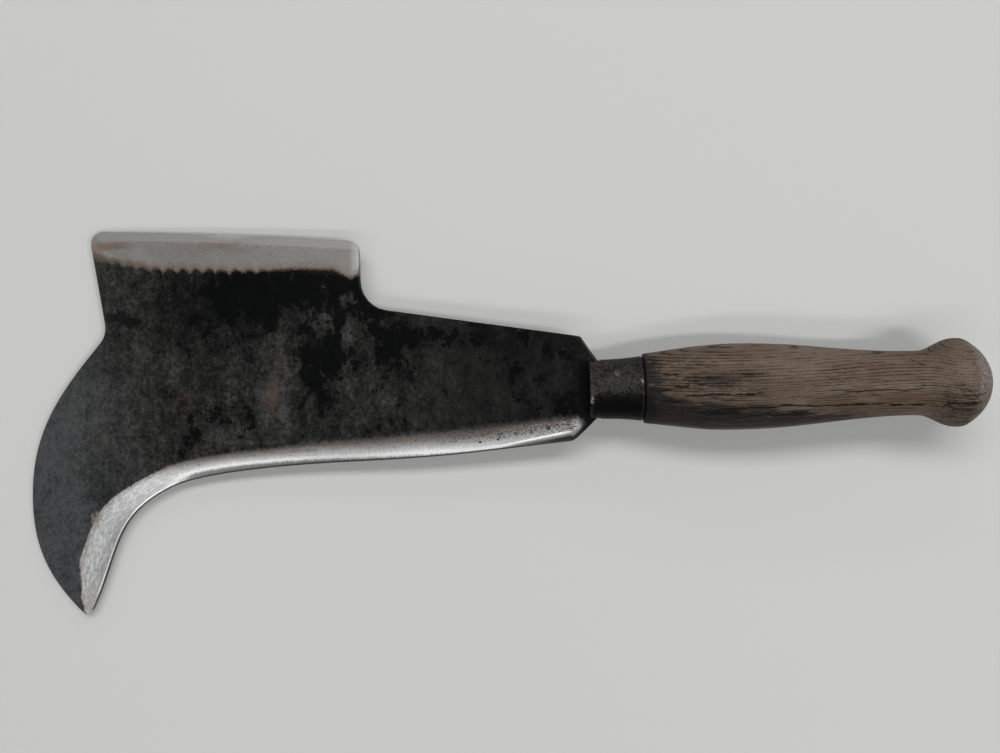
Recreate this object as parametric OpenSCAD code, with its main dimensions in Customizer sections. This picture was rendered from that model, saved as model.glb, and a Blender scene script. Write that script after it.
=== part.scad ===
// Double-edged billhook: a forged blade whose tang runs right through a turned ash handle.
// X runs along the handle, from the blade to the knob. Y points to the straight back edge.
// Z is square to the blade's cheeks. The origin is on the handle's axis, at the ferrule's front rim.

/* [Blade outline] */
// Length from the ferrule's front rim to the end of the nose
blade_length = 254; // [235:1:280]
// How far the foremost point of the nose lies below the handle's axis
nose_drop = 45; // [37:1:53]
// How far the hook's tip lies below the handle's axis
tip_drop = 98; // [88:1:112]
// How far the hook's tip lies behind the end of the nose
tip_setback = 25; // [18:1:32]
// Rounding of the hook's tip
tip_round = 2.5; // [1.8:0.1:3.5]
// Distance from the ferrule's rim to the heel, the corner where the lower edge starts
heel_distance = 7; // [5:0.5:12]
// Depth of the heel below the axis
heel_drop = 22.8; // [20:0.2:26]
// Distance from the ferrule's rim to the middle of the lower edge
middle_distance = 108; // [90:1:125]
// Depth of the lower edge below the axis, at its middle
middle_drop = 30.5; // [27:0.5:34]
// How far behind the nose's end the lower edge bends down into the hook
bend_setback = 64; // [58:1:72]
// Depth of the lower edge below the axis, where the hook's bend starts
bend_drop = 40.8; // [38:0.2:45]
// Height of the back edge above the axis, at its front corner
back_height = 76.3; // [66:0.1:90]
// How much lower the back edge is at the step than at its front corner
back_fall = 7.3; // [2:0.1:12]
// How far the back edge bows out between its corners
back_crown = 0.9; // [0:0.1:2]
// How far the back edge's front corner lies behind the end of the nose
back_setback = 28.5; // [20:0.5:36]
// Rounding of the back edge's front corner
front_corner_round = 5; // [2:0.5:8]
// How far the inner corner above the nose lies behind the end of the nose
brow_setback = 36; // [32:0.5:41]
// Height of the inner corner above the nose
brow_height = 29; // [21:1:37]
// Rounding of the inner corner above the nose
brow_round = 11; // [6:1:16]
// Distance from the ferrule's rim to the step in the back
step_distance = 102; // [85:1:120]
// Rounding of the step's outer corner
step_corner_round = 5.5; // [2:0.5:9]
// Rounding of the step's inner corner
step_round = 14; // [8:1:20]
// Slope of the back between the step and the shoulder, in degrees
back_slope = 8.9; // [6:0.1:11]

/* [Blade section] */
// Thickness of the blade at the shoulders
heel_thickness = 6; // [5:0.1:7]
// Thickness of the blade at the nose
nose_thickness = 4.4; // [3.6:0.1:5]
// Thickness left along the cutting edges
edge_land = 0.6; // [0.4:0.1:0.8]
// Width of the lower bevel at the heel
bevel_heel = 11; // [8:0.5:13]
// Width of the lower bevel at the middle of the edge
bevel_middle = 8.2; // [6:0.2:11]
// Width of the lower bevel where the hook's bend starts
bevel_bend = 9; // [6:0.2:11]
// Width of the lower bevel inside the hook
bevel_hook = 13.4; // [9:0.2:15]
// Width of the lower bevel at the hook's tip
bevel_tip = 7; // [5:0.5:9]
// How full the lower bevel is between heel and bend, from 0, flat, upwards
bevel_fullness = 0.4; // [0:0.05:0.6]
// Width of the back edge's bevel
back_bevel = 17; // [12:0.5:20]
// Width of the back edge's bevel at its front end
back_bevel_front = 9; // [7:0.5:13]
// Width of the honed strip along the back edge
honing_width = 4; // [2.5:0.5:5.5]
// Rise of the honed strip, on each side
honing_rise = 0.9; // [0.5:0.1:1.1]
// Width of the worn corner along the blade's blunt edges
worn_corner = 0.7; // [0.4:0.1:1]

/* [Shoulders and tang] */
// Height of the upper shoulder above the axis
shoulder_height = 23.8; // [21:0.2:27]
// How far ahead of the ferrule's rim the upper shoulder turns down
shoulder_distance = 3.4; // [2:0.2:6]
// Rounding of the upper shoulder
shoulder_round = 2; // [1.6:0.1:4]
// Rounding of the lower shoulder, behind the heel
heel_round = 7; // [3:0.5:8]
// How deep the shoulders sit in the notches of the ferrule
seat_depth = 5; // [3:0.5:7]
// Width of the shoulders where they bottom in the notches
seat_width = 22.4; // [20:0.2:24]
// Width of the tang's root
root_width = 16.5; // [14:0.5:17]
// Thickness of the tang's root
root_thickness = 11; // [9:0.5:11.5]
// Length over which the cheeks swell up to the root
root_swell = 4.4; // [3:0.2:8]
// Side of the square tang at the end of the handle
tang_end = 6; // [5:0.5:6.5]
// Diameter of the hammered head on the tang's end
head_diameter = 10; // [9.6:0.1:10.4]
// Height of the hammered head
head_height = 1.4; // [0.8:0.1:2]

/* [Ferrule] */
// Length of the ferrule
ferrule_length = 23.5; // [18:0.5:32]
// Outside diameter at the front rim
ferrule_front = 26.6; // [26:0.1:28.5]
// Outside diameter at the rear rim
ferrule_rear = 29; // [28:0.1:30.2]
// How far the ferrule's side is drawn in between its rims
ferrule_waist = 0.5; // [0:0.1:0.8]
// Wall of the ferrule at its rims
ferrule_wall = 2; // [1.6:0.1:2.2]
// Rounding of the ferrule's outer rims
rim_round = 0.8; // [0.4:0.1:1]
// Open joint between the ferrule's rear rim and the wood
ferrule_joint = 0.6; // [0.2:0.1:0.9]

/* [Handle] */
// Length from the ferrule's front rim to the end of the knob
handle_length = 175.2; // [165:0.1:195]
// Diameter of the wood just behind the ferrule
grip_front = 31; // [30.6:0.1:33]
// Rounding of the wood's edge behind the ferrule
grip_edge_round = 0.6; // [0.3:0.1:1]
// Distance from the ferrule's rim to the middle of the swell
swell_distance = 65; // [55:1:80]
// Diameter of the swell
swell_diameter = 38.4; // [34:0.2:42]
// Diameter of the neck
neck_diameter = 28.4; // [25:0.2:31]
// Distance from the neck to the end of the knob
neck_setback = 31.8; // [27:0.2:38]
// Diameter of the knob
knob_diameter = 39.2; // [34:0.2:44]
// Distance from the fullest part of the knob to its end
knob_setback = 14.6; // [13.6:0.2:17]
// Distance from the soft edge round the dome to the knob's end
dome_height = 11.8; // [10:0.2:12.4]
// How much the knob narrows, in radius, from its fullest part to the dome's edge
knob_fall = 0.5; // [0.2:0.1:1]

/* [Tang washer] */
// Diameter of the washer under the tang's head
washer_diameter = 12; // [11:0.5:15]
// Thickness of the washer
washer_thickness = 1.5; // [1:0.1:2.5]

/* [Ferrule nail] */
// Diameter of the nail's shank
nail_diameter = 1.8; // [1.2:0.1:2.2]
// Length of the shank below the head
nail_length = 5; // [3.5:0.5:5.5]
// Diameter of the nail's head
nail_head = 3; // [2.6:0.1:3.6]
// Height of the nail's head
nail_head_height = 0.6; // [0.4:0.1:0.9]
// Turn of the nail about the handle's axis, from square above the cheek, in degrees
nail_angle = 31; // [15:1:45]

/* [Fits] */
// Gap round the tang, the shoulders and the washer in their seats
seat_gap = 0.2; // [0.1:0.05:0.3]
// Gap between the ferrule and the wood that it is driven on to, and round the nail
drive_gap = 0.1; // [0.05:0.05:0.2]

/* [Hidden] */
$fn = 96;

// Steps in each curved stretch, in each rounded corner and across the lower bevel
curve_steps = 18;
arc_steps = 6;
bevel_steps = 4;
// Directions of the outline at its knots, in degrees, going round from the shoulder by the back to the heel
brow_heading = 229;
nose_heading = 270;
tip_approach = 315;
tip_heading = 65;
bend_heading = 25.5;
middle_heading = 1.7;
heel_heading = 5.6;
// How long a curve keeps the direction of its ends, as a share of its chord
nose_reach = 0.39;
tip_reach = 0.5;
hook_reach = 0.46;
bend_reach = 0.21;
edge_reach = 0.45;
turned_reach = 0.38;
// Where the rounding of the tip starts and ends, counted in roundings from the tip
tip_front = [-1, 0.4];
tip_rear = [1, 1.4];
// Directions of the turned outlines at their knots, in degrees from the handle's axis
grip_heading = 7;
dome_approach = -20;
dome_heading = -30;
head_bulge = 60;
// Directions of the cheeks where they swell up to the tang's root, and where they reach it
swell_heading = 20;
root_heading = 80;
// Half height of the stock that the outline and the cuts are made in
stock = 12;
// How far a cut starts outside the edge that it opens, and how far it runs on past its far side
cut_lead = 0.5;
cut_rise = 0.3;
// Length of the tang's root that is one with the blade, ahead of the swell
root_overlap = 9;
// Length of the straight start of the grip, behind its rounded edge
grip_lead = 2;

// Main points of the blade's outline
nose = [-blade_length, -nose_drop];
tip = [tip_setback - blade_length, -tip_drop];
nose_end = tip + tip_round * tip_front;
edge_start = tip + tip_round * tip_rear;
bend = [bend_setback - blade_length, -bend_drop];
edge_middle = [-middle_distance, -middle_drop];
heel = [-heel_distance, -heel_drop];
brow = [brow_setback - blade_length, brow_height];
back_front = [back_setback - blade_length, back_height];
back_rear = [-step_distance, back_height - back_fall];
shoulder = [-shoulder_distance, shoulder_height];
step_foot = shoulder + (step_distance - shoulder_distance) * [-1, tan(back_slope)];
seat_upper = [seat_depth, seat_width / 2];
seat_lower = [seat_depth, -seat_width / 2];

// Radii of the ferrule's bore, half thickness of the slot for the shoulders, and places along the handle
bore_front = ferrule_front / 2 - ferrule_wall;
bore_rear = ferrule_rear / 2 - ferrule_wall;
slot_half = heel_thickness / 2 + seat_gap;
slot_end = seat_depth + seat_gap;
grip_start = ferrule_length + ferrule_joint;
head_seat = handle_length - head_height;
tang_tip = head_seat + head_height / 2;
washer_seat = head_seat - washer_thickness;
nail_place = ferrule_length / 2;
nail_seat = (ferrule_front + ferrule_rear) / 4 - ferrule_waist + drive_gap;

function heading(angle) = [cos(angle), sin(angle)];
function unit(v) = v / norm(v);
// Value that goes from a to b as t goes from 0 to 1, level at both ends
function ease(a, b, t) = let (s = min(max(t, 0), 1)) a + (b - a) * s * s * (3 - 2 * s);
// Half thickness of the tapered blade
function cheek(x) = (heel_thickness + (heel_thickness - nose_thickness) * min(x, 0) / blade_length) / 2;
function inner(list) = [for (i = [1:len(list) - 2]) list[i]];
function rest(list) = [for (i = [1:len(list) - 1]) list[i]];

// Curve from p to q that leaves and arrives in the given directions
function curve(p, p_heading, q, q_heading, reach, steps = curve_steps) =
    let (arm = reach * norm(q - p))
    let (a = p + arm * heading(p_heading))
    let (b = q - arm * heading(q_heading))
    [for (i = [0:steps]) let (t = i / steps, s = 1 - t)
        s * s * s * p + 3 * s * s * t * a + 3 * s * t * t * b + t * t * t * q];

// Arc that rounds the corner c of the line from p by c to q
function fillet(p, c, q, r) =
    let (a = unit(p - c), b = unit(q - c))
    let (half = acos(a * b) / 2)
    let (centre = c + unit(a + b) * r / sin(half))
    let (from = c + a * r / tan(half) - centre)
    let (to = c + b * r / tan(half) - centre)
    let (sweep = 180 - 2 * half)
    [for (i = [0:arc_steps]) let (t = i / arc_steps)
        centre + (sin((1 - t) * sweep) * from + sin(t * sweep) * to) / sin(sweep)];

// The outline's stretches, in order. The back edge runs from the step to its front corner
back_edge = [for (i = [0:arc_steps]) let (t = i / arc_steps)
    back_rear + t * (back_front - back_rear) + [0, 4 * back_crown * t * (1 - t)]];
blunt_back = concat([seat_upper],
    fillet(seat_upper, shoulder, step_foot, shoulder_round),
    fillet(shoulder, step_foot, back_rear, step_round),
    fillet(step_foot, back_rear, back_edge[1], step_corner_round));
brow_arc = fillet(back_front, brow, brow + heading(brow_heading), brow_round);
blunt_front = concat(
    fillet(back_edge[arc_steps - 1], back_front, brow, front_corner_round),
    brow_arc,
    rest(curve(brow_arc[arc_steps], brow_heading, nose, nose_heading, nose_reach)),
    rest(curve(nose, nose_heading, nose_end, tip_approach, nose_reach)));
tip_arc = curve(nose_end, tip_approach, edge_start, tip_heading, tip_reach, arc_steps);
edge = concat(
    curve(edge_start, tip_heading, bend, bend_heading, hook_reach, 2 * curve_steps),
    rest(curve(bend, bend_heading, edge_middle, middle_heading, bend_reach)),
    rest(curve(edge_middle, middle_heading, heel, heel_heading, edge_reach)));
edge_last = len(edge) - 1;
blunt_heel = concat(fillet(edge[edge_last - 1], heel, seat_lower, heel_round), [seat_lower]);
blade_outline = concat(blunt_back, inner(back_edge), blunt_front, inner(tip_arc),
    [for (i = [0:edge_last - 1]) edge[i]], blunt_heel);

// Direction of a path at its point i, and the direction square to it, into the blade
function along(path, i) = unit(path[min(i + 1, len(path) - 1)] - path[max(i - 1, 0)]);
function inward(path, i) = let (d = along(path, i)) [-d.y, d.x];
// Cross-section of a cut, set square to a path at point i. Its floor is given as distance in and height
function ring(path, i, floor_line) = let (n = inward(path, i), last = floor_line[len(floor_line) - 1])
    [for (f = concat(floor_line, [[last.x, stock], [floor_line[0].x, stock]]))
        let (p = path[i] + f.x * n) [p.x, p.y, f.y]];

// Solid through a row of rings that all have the same number of points
module loft(rings) {
    count = len(rings[0]);
    last = (len(rings) - 1) * count;
    sides = [for (i = [0:len(rings) - 2]) for (j = [0:count - 1])
        let (a = i * count + j, b = i * count + (j + 1) % count)
        each [[a, a + count, b], [b, a + count, b + count]]];
    ends = [[for (j = [0:count - 1]) j], [for (j = [count - 1:-1:0]) last + j]];
    polyhedron([for (r = rings) each r], concat(sides, ends));
}

// Lower bevel: its path runs on past the tip and past the heel, and its width closes up there
tip_run = 4.5;
heel_run = 5.5;
run_steps = 4;
// Share of the bevel's width that is gone at the end of each run
run_closing = 0.92;
// Share of the bevel's width to which its cut runs on above the cheek
bevel_past = 1.15;
// Share of the hook's edge over which the bevel widens from the tip, and the one after which it narrows
hook_widening = 0.25;
hook_full = 0.5;
// Share of the edge behind its middle, and of the back edge behind its front, over which the bevels widen
heel_widening = 0.33;
back_widening = 0.33;
edge_middles = [for (i = [1:edge_last]) (edge[i - 1] + edge[i]) / 2];
bevel_path = concat(
    [for (i = [run_steps:-1:1]) edge_start - i / run_steps * tip_run * heading(tip_heading)],
    edge_middles,
    [for (i = [1:run_steps]) heel + sqrt(i / run_steps) * heel_run * heading(heel_heading)]);
function run_out(share) = sqrt(1 - run_closing * share * share * share);
function edge_width(i) =
    let (hook = i / curve_steps / 2, lower = i / curve_steps - 3)
    hook < hook_full ? ease(bevel_tip, bevel_hook, hook / hook_widening) :
    hook < 1 ? ease(bevel_hook, bevel_bend, (hook - hook_full) / (1 - hook_full)) :
    lower < 0 ? ease(bevel_bend, bevel_middle, lower + 1) :
    ease(bevel_middle, bevel_heel, lower / heel_widening);
function bevel_width(k) =
    let (i = k - run_steps + 0.5, past = k - run_steps - edge_last + 1)
    i < 0 ? bevel_tip * run_out((run_steps - k) / run_steps) :
    past > 0 ? bevel_heel * run_out(sqrt(past / run_steps)) : edge_width(i);
function fullness(k) = ease(0, bevel_fullness, (k - run_steps) / curve_steps - 1);
function bevel_floor(k) =
    let (w = bevel_width(k), c = fullness(k), e = edge_land / 2)
    let (rise = cheek((bevel_path[k] + w * inward(bevel_path, k)).x) - e)
    concat([[-cut_lead, max(e - rise * (1 + c) * cut_lead / w, e / 2)]],
        [for (j = [1:bevel_steps]) let (u = bevel_past * j / bevel_steps)
            [w * u, e + rise * ((1 + c) * u - c * u * u)]]);
module lower_bevel() {
    loft([for (k = [0:len(bevel_path) - 1]) ring(bevel_path, k, bevel_floor(k))]);
}

// Back bevel: a honed strip along the edge and a wide shallow grind behind it, narrower at the front
back_dir = unit(back_edge[1] - back_rear);
front_dir = unit(back_front - back_edge[arc_steps - 1]);
back_path = concat([back_rear - front_corner_round * back_dir], back_edge,
    [back_front + front_corner_round * front_dir]);
function back_floor(k) =
    let (e = edge_land / 2)
    let (w = ease(back_bevel_front, back_bevel, (arc_steps + 1 - k) / arc_steps / back_widening))
    let (h = cheek((back_path[k] + w * inward(back_path, k)).x))
    let (slope = (h - e - honing_rise) / (w - honing_width))
    [[-cut_lead, e - honing_rise * cut_lead / honing_width], [honing_width, e + honing_rise],
        [w + cut_rise / slope, h + cut_rise]];
module back_bevel_cut() {
    loft([for (k = [0:len(back_path) - 1]) ring(back_path, k, back_floor(k))]);
}

// Worn corner between a blunt edge and the cheek
module worn_edge(path) {
    loft([for (k = [0:len(path) - 1]) let (h = cheek(path[k].x))
        ring(path, k, [[-cut_lead, h - worn_corner - cut_lead], [worn_corner + cut_rise, h + cut_rise]])]);
}

// Half of a shape's side or plan, drawn on both sides of the axis
module both_sides(half) {
    polygon(concat(half, [for (i = [len(half) - 1:-1:0]) [half[i].x, -half[i].y]]));
}

// Shape with the given half outlines in plan and from the side
module tapered_bar(plan, side) {
    intersection() {
        linear_extrude(2 * stock, center = true) both_sides(plan);
        rotate([90, 0, 0]) linear_extrude(2 * stock, center = true) both_sides(side);
    }
}

// Solid turned about the handle's axis, from a profile of distances along it and radii
module turned(profile) {
    rotate([90, 0, 90]) rotate_extrude() polygon([for (p = profile) [p.y, p.x]]);
}

// Tang from its embedded start to its end, grown by a gap on all sides
root_start = -root_swell - root_overlap;
module tang(gap) {
    plan = [[root_start, root_width / 2 + gap], [0, root_width / 2 + gap], [tang_tip, tang_end / 2 + gap]];
    swell = curve([-root_swell, cheek(-root_swell) - cut_rise], swell_heading,
        [0, root_thickness / 2 + gap], root_heading, turned_reach, arc_steps);
    side = concat([[root_start, swell[0].y]], swell, [[tang_tip, tang_end / 2 + gap]]);
    tapered_bar(plan, side);
}

// The blade's outline, tapered in thickness from the shoulders to the nose
module plate() {
    past = blade_length + stock;
    intersection() {
        linear_extrude(2 * stock, center = true) polygon(blade_outline);
        rotate([90, 0, 0]) linear_extrude(3 * past, center = true)
            both_sides([[-past, cheek(-past)], [0, cheek(0)], [stock, cheek(0)]]);
    }
}

// A cut on one cheek, and its twin on the other
module on_both_cheeks() {
    children();
    mirror([0, 0, 1]) children();
}

module blade() {
    head_profile = concat([[head_seat, 0]],
        curve([head_seat, head_diameter / 2], head_bulge,
            [handle_length, 0], -90, turned_reach, arc_steps));
    color([0.17, 0.17, 0.18]) {
        difference() {
            plate();
            on_both_cheeks() lower_bevel();
            on_both_cheeks() back_bevel_cut();
            on_both_cheeks() worn_edge(blunt_back);
            on_both_cheeks() worn_edge(concat(blunt_front, rest(tip_arc)));
            on_both_cheeks() worn_edge(blunt_heel);
        }
        tang(0);
        turned(head_profile);
    }
}

// Radial hole or shank for the nail, from its seat on the ferrule towards the axis
module nail_shank(d, length) {
    translate([nail_place, 0, 0]) rotate([-nail_angle, 0, 0]) translate([0, 0, nail_seat - length])
        cylinder(d = d, h = length + drive_gap);
}

module nail_hole() {
    nail_shank(nail_diameter + 2 * drive_gap, nail_length + drive_gap);
}

// Slot that the blade's shoulders sit in, across the ferrule's rim and the wood inside it
module shoulder_slot() {
    translate([-stock, -2 * stock, -slot_half]) cube([stock + slot_end, 4 * stock, 2 * slot_half]);
}

module ferrule() {
    side = [for (i = [0:2 * arc_steps]) let (t = i / arc_steps / 2)
        [t * ferrule_length, ferrule_front / 2 + t * (ferrule_rear - ferrule_front) / 2
            - 4 * ferrule_waist * t * (1 - t)]];
    outside = concat([[0, bore_front]], fillet([0, bore_front], side[0], side[1], rim_round), inner(side),
        fillet(side[2 * arc_steps - 1], side[2 * arc_steps], [ferrule_length, bore_rear], rim_round),
        [[ferrule_length, bore_rear]]);
    color([0.22, 0.21, 0.2])
    difference() {
        turned(outside);
        shoulder_slot();
        nail_hole();
    }
}

module handle() {
    end = handle_length;
    spigot_front = seat_gap;
    spigot_taper = (bore_rear - bore_front) / ferrule_length;
    swell = [swell_distance, swell_diameter / 2];
    neck = [end - neck_setback, neck_diameter / 2];
    knob = [end - knob_setback, knob_diameter / 2];
    dome_edge = [end - dome_height, knob_diameter / 2 - knob_fall];
    grip_edge = [grip_start, grip_front / 2];
    profile = concat(
        [[spigot_front, 0], [spigot_front, bore_front - drive_gap + spigot_taper * spigot_front],
            [grip_start, bore_rear - drive_gap]],
        fillet([grip_start, 0], grip_edge, grip_edge + heading(grip_heading), grip_edge_round),
        rest(curve(grip_edge + grip_lead * heading(grip_heading), grip_heading, swell, 0, turned_reach)),
        rest(curve(swell, 0, neck, 0, turned_reach)),
        rest(curve(neck, 0, knob, 0, turned_reach)),
        rest(curve(knob, 0, dome_edge, dome_approach, turned_reach, arc_steps)),
        rest(curve(dome_edge, dome_heading, [end, 0], -90, turned_reach)));
    color([0.42, 0.31, 0.23])
    difference() {
        turned(profile);
        tang(seat_gap);
        shoulder_slot();
        nail_hole();
        translate([washer_seat, 0, 0]) rotate([0, 90, 0])
            cylinder(d = washer_diameter + 2 * seat_gap, h = stock);
    }
}

module tang_washer() {
    hole = tang_end + 2 * seat_gap;
    color([0.3, 0.29, 0.28])
    difference() {
        translate([washer_seat, 0, 0]) rotate([0, 90, 0])
            cylinder(d = washer_diameter, h = washer_thickness);
        translate([handle_length, 0, 0]) cube([2 * stock, hole, hole], center = true);
    }
}

module ferrule_nail() {
    color([0.35, 0.34, 0.33]) {
        nail_shank(nail_diameter, nail_length);
        translate([nail_place, 0, 0]) rotate([-nail_angle, 0, 0]) translate([0, 0, nail_seat])
            rotate_extrude() polygon(concat([[0, 0]],
                curve([nail_head / 2, 0], 90, [0, nail_head_height], 180, turned_reach, arc_steps)));
    }
}

blade();
ferrule();
handle();
tang_washer();
ferrule_nail();
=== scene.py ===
import math

import bpy
import numpy as np
from mathutils import Matrix, Vector, noise


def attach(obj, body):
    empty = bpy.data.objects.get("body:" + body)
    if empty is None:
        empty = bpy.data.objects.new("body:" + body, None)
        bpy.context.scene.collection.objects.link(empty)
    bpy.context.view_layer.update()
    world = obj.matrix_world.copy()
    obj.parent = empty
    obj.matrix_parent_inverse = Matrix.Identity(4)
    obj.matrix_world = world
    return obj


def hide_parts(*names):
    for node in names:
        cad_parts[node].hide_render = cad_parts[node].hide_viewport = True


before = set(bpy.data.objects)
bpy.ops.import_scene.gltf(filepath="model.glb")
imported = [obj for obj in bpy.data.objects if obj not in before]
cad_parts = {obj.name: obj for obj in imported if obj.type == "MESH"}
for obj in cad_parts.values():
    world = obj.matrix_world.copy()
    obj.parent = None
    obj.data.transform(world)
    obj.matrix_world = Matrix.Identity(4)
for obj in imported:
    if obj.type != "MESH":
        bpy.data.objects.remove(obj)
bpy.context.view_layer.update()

mm = 0.001
bench = {"weld": 0.002, "cutSlack": 1e-7, "far": 1e9, "tiny": 1e-9}  # weld in mm


# mesh tools

def pickOnly(obj):
    bpy.ops.object.select_all(action="DESELECT")
    obj.select_set(True)
    bpy.context.view_layer.objects.active = obj


def openMesh(obj):
    pickOnly(obj)
    bpy.ops.object.mode_set(mode="EDIT")
    bpy.ops.mesh.select_all(action="SELECT")


def closeMesh():
    bpy.ops.object.mode_set(mode="OBJECT")


def smoothPiece(obj, degrees):
    pickOnly(obj)
    bpy.ops.object.shade_smooth_by_angle(angle=math.radians(degrees))


def copyOfNode(nodeName, pieceName):
    piece = bpy.data.objects.new(pieceName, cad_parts[nodeName].data.copy())
    bpy.context.scene.collection.objects.link(piece)
    piece.data.materials.clear()
    openMesh(piece)
    bpy.ops.mesh.remove_doubles(threshold=bench["weld"] * mm)  # the CAD mesh is loose triangles
    bpy.ops.mesh.customdata_custom_splitnormals_clear()
    closeMesh()
    return piece


def sliceAlong(axis, low, high, step):
    normal = Vector((0, 0, 0))
    normal[axis] = 1
    for i in range(int((high - low) / step) + 1):
        place = normal * (low + i * step) * mm
        bpy.ops.mesh.select_all(action="SELECT")
        bpy.ops.mesh.bisect(plane_co=place, plane_no=normal, threshold=bench["cutSlack"])


def pointsOf(mesh):
    flat = np.empty(len(mesh.vertices) * 3)
    mesh.vertices.foreach_get("co", flat)
    return flat.reshape(-1, 3) / mm


def putPoints(mesh, points):
    mesh.vertices.foreach_set("co", (points * mm).ravel())
    mesh.update()


def putAttribute(mesh, name, values):
    made = mesh.attributes.new(name, "FLOAT", "POINT")
    made.data.foreach_set("value", np.asarray(values, np.float32))


def gapToLine(points, starts, ends):
    # distance, seen square to the cheeks, from each point to the nearest segment, and its foot there
    best = np.full(len(points), bench["far"])
    foot = np.zeros((len(points), 2))
    for a, b in zip(starts, ends):
        along = b - a
        share = np.clip((points[:, :2] - a) @ along / max(along @ along, bench["tiny"]), 0, 1)
        near = a + share[:, None] * along
        gap = np.hypot(*(points[:, :2] - near).T)
        closer = gap < best
        best[closer] = gap[closer]
        foot[closer] = near[closer]
    return best, foot


def finishPiece(piece, node, material):
    piece.data.materials.append(material)
    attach(piece, "root")
    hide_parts(node)


# node tools: a colour is written as red, green and blue

def connect(tree, socket, value):
    if isinstance(value, bpy.types.NodeSocket):
        tree.links.new(value, socket)
    elif socket.type == "RGBA":
        socket.default_value = (*value, 1)
    else:
        socket.default_value = value


def addNode(tree, kind, inputs=None, **settings):
    made = tree.nodes.new("ShaderNode" + kind)
    for name, value in settings.items():
        setattr(made, name, value)
    for key, value in (inputs or {}).items():
        connect(tree, made.inputs[key], value)
    return made


def calc(tree, operation, *values, clamp=False):
    made = addNode(tree, "Math", operation=operation, use_clamp=clamp)
    for socket, value in zip(made.inputs, values):
        connect(tree, socket, value)
    return made.outputs[0]


def times(tree, value, *others):
    for other in others:
        value = calc(tree, "MULTIPLY", value, other)
    return value


def blend(tree, part, amount, value):
    # the value, and so much of a part
    return calc(tree, "MULTIPLY_ADD", part, amount, value)


def sway(tree, value, grain, amount):
    # moves a value up and down with a grain, whose middle is one half
    return blend(tree, calc(tree, "SUBTRACT", grain, 0.5), amount, value)


def slope(tree, value, low, high, start, end, kind="LINEAR"):
    limits = {"Value": value, "From Min": low, "From Max": high, "To Min": start, "To Max": end}
    return addNode(tree, "MapRange", limits, interpolation_type=kind).outputs[0]


def fade(tree, value, low, high, start=0.0, end=1.0):
    return slope(tree, value, low, high, start, end, "SMOOTHSTEP")


def band(tree, value, rise, fall):
    # full between two slopes
    return times(tree, fade(tree, value, *rise), fade(tree, value, *fall))


def mixColour(tree, factor, first, second):
    return addNode(tree, "Mix", {0: factor, 6: first, 7: second}, data_type="RGBA").outputs[2]


def mixValue(tree, factor, first, second):
    return addNode(tree, "Mix", {0: factor, 2: first, 3: second}, data_type="FLOAT").outputs[0]


def layers(tree, under, *coats):
    for mask, colour in coats:
        under = mixColour(tree, mask, under, colour)
    return under


def grainAt(tree, coords, stretch, detail=3.0, roughness=0.55, distortion=0.0):
    placed = addNode(tree, "Mapping", {"Vector": coords, "Scale": stretch})
    return addNode(tree, "TexNoise", {"Vector": placed.outputs[0], "Scale": 1.0, "Detail": detail,
                                      "Roughness": roughness, "Distortion": distortion}).outputs["Fac"]


def spotsAt(tree, coords, spots):
    # sum of soft round marks: place, reach along each axis and strength
    total = None
    for place, reach, strength in spots:
        placed = addNode(tree, "Mapping", {"Vector": coords, "Location": place, "Scale": reach},
                         vector_type="TEXTURE").outputs[0]
        blob = addNode(tree, "TexGradient", {"Vector": placed}, gradient_type="SPHERICAL").outputs["Fac"]
        mark = times(tree, blob, strength)
        total = mark if total is None else calc(tree, "ADD", total, mark)
    return total


def raggedMark(tree, at, grain, amount, edge, clear):
    # a mark with an outline that a grain breaks up, and nothing away from it
    return times(tree, fade(tree, sway(tree, at, grain, amount), *edge), fade(tree, at, *clear))


def lineAt(tree, axes, corners, width, wobble=0.0):
    # a thin line on the upper side that runs through the corners
    x, y, z = axes
    middle = calc(tree, "ADD", wobble, corners[0][1])
    for (x0, y0), (x1, y1) in zip(corners, corners[1:]):
        middle = calc(tree, "ADD", slope(tree, x, x0, x1, 0.0, y1 - y0), middle)
    gap = calc(tree, "ABSOLUTE", calc(tree, "SUBTRACT", y, middle))
    first, last = corners[0][0], corners[-1][0]
    taper = min(3.0, 0.2 * (last - first))
    ends = band(tree, x, (first - taper, first + taper), (last + taper, last - taper))
    return times(tree, fade(tree, gap, width, 0.2 * width), ends, fade(tree, z, 0, 3))


def colourSteps(tree, value, steps):
    made = addNode(tree, "ValToRGB", {"Fac": value})
    ramp = made.color_ramp
    while len(ramp.elements) < len(steps):
        ramp.elements.new(0.5)
    for element, (place, colour) in zip(ramp.elements, steps):
        element.position = place
        element.color = (*colour, 1)
    return made.outputs["Color"]


def readAttribute(tree, name):
    return addNode(tree, "Attribute", attribute_name=name).outputs["Fac"]


def stretched(tree, coords, factors):
    return addNode(tree, "VectorMath", {0: coords, 1: factors}, operation="MULTIPLY").outputs[0]


def millimetres(tree):
    return stretched(tree, addNode(tree, "TexCoord").outputs["Object"], (1000, 1000, 1000))


def placesOf(tree):
    # object coordinates in mm, together and then as x, y and z
    coords = millimetres(tree)
    return coords, *addNode(tree, "SeparateXYZ", {0: coords}).outputs


def joined(tree, x, y, z):
    return addNode(tree, "CombineXYZ", {0: x, 1: y, 2: z}).outputs[0]


def newMaterial(name):
    material = bpy.data.materials.new(name)
    material.use_nodes = True
    tree = material.node_tree
    tree.nodes.clear()
    shader = addNode(tree, "BsdfPrincipled")
    tree.links.new(shader.outputs[0], addNode(tree, "OutputMaterial").inputs[0])
    return material, tree, shader


def putLook(tree, shader, look):
    for name, value in look.items():
        connect(tree, shader.inputs[name], value)


def putBump(tree, shader, height, strength, depth):
    bump = addNode(tree, "Bump", {"Height": height, "Strength": strength, "Distance": depth * mm})
    connect(tree, shader.inputs["Normal"], bump.outputs[0])


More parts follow.
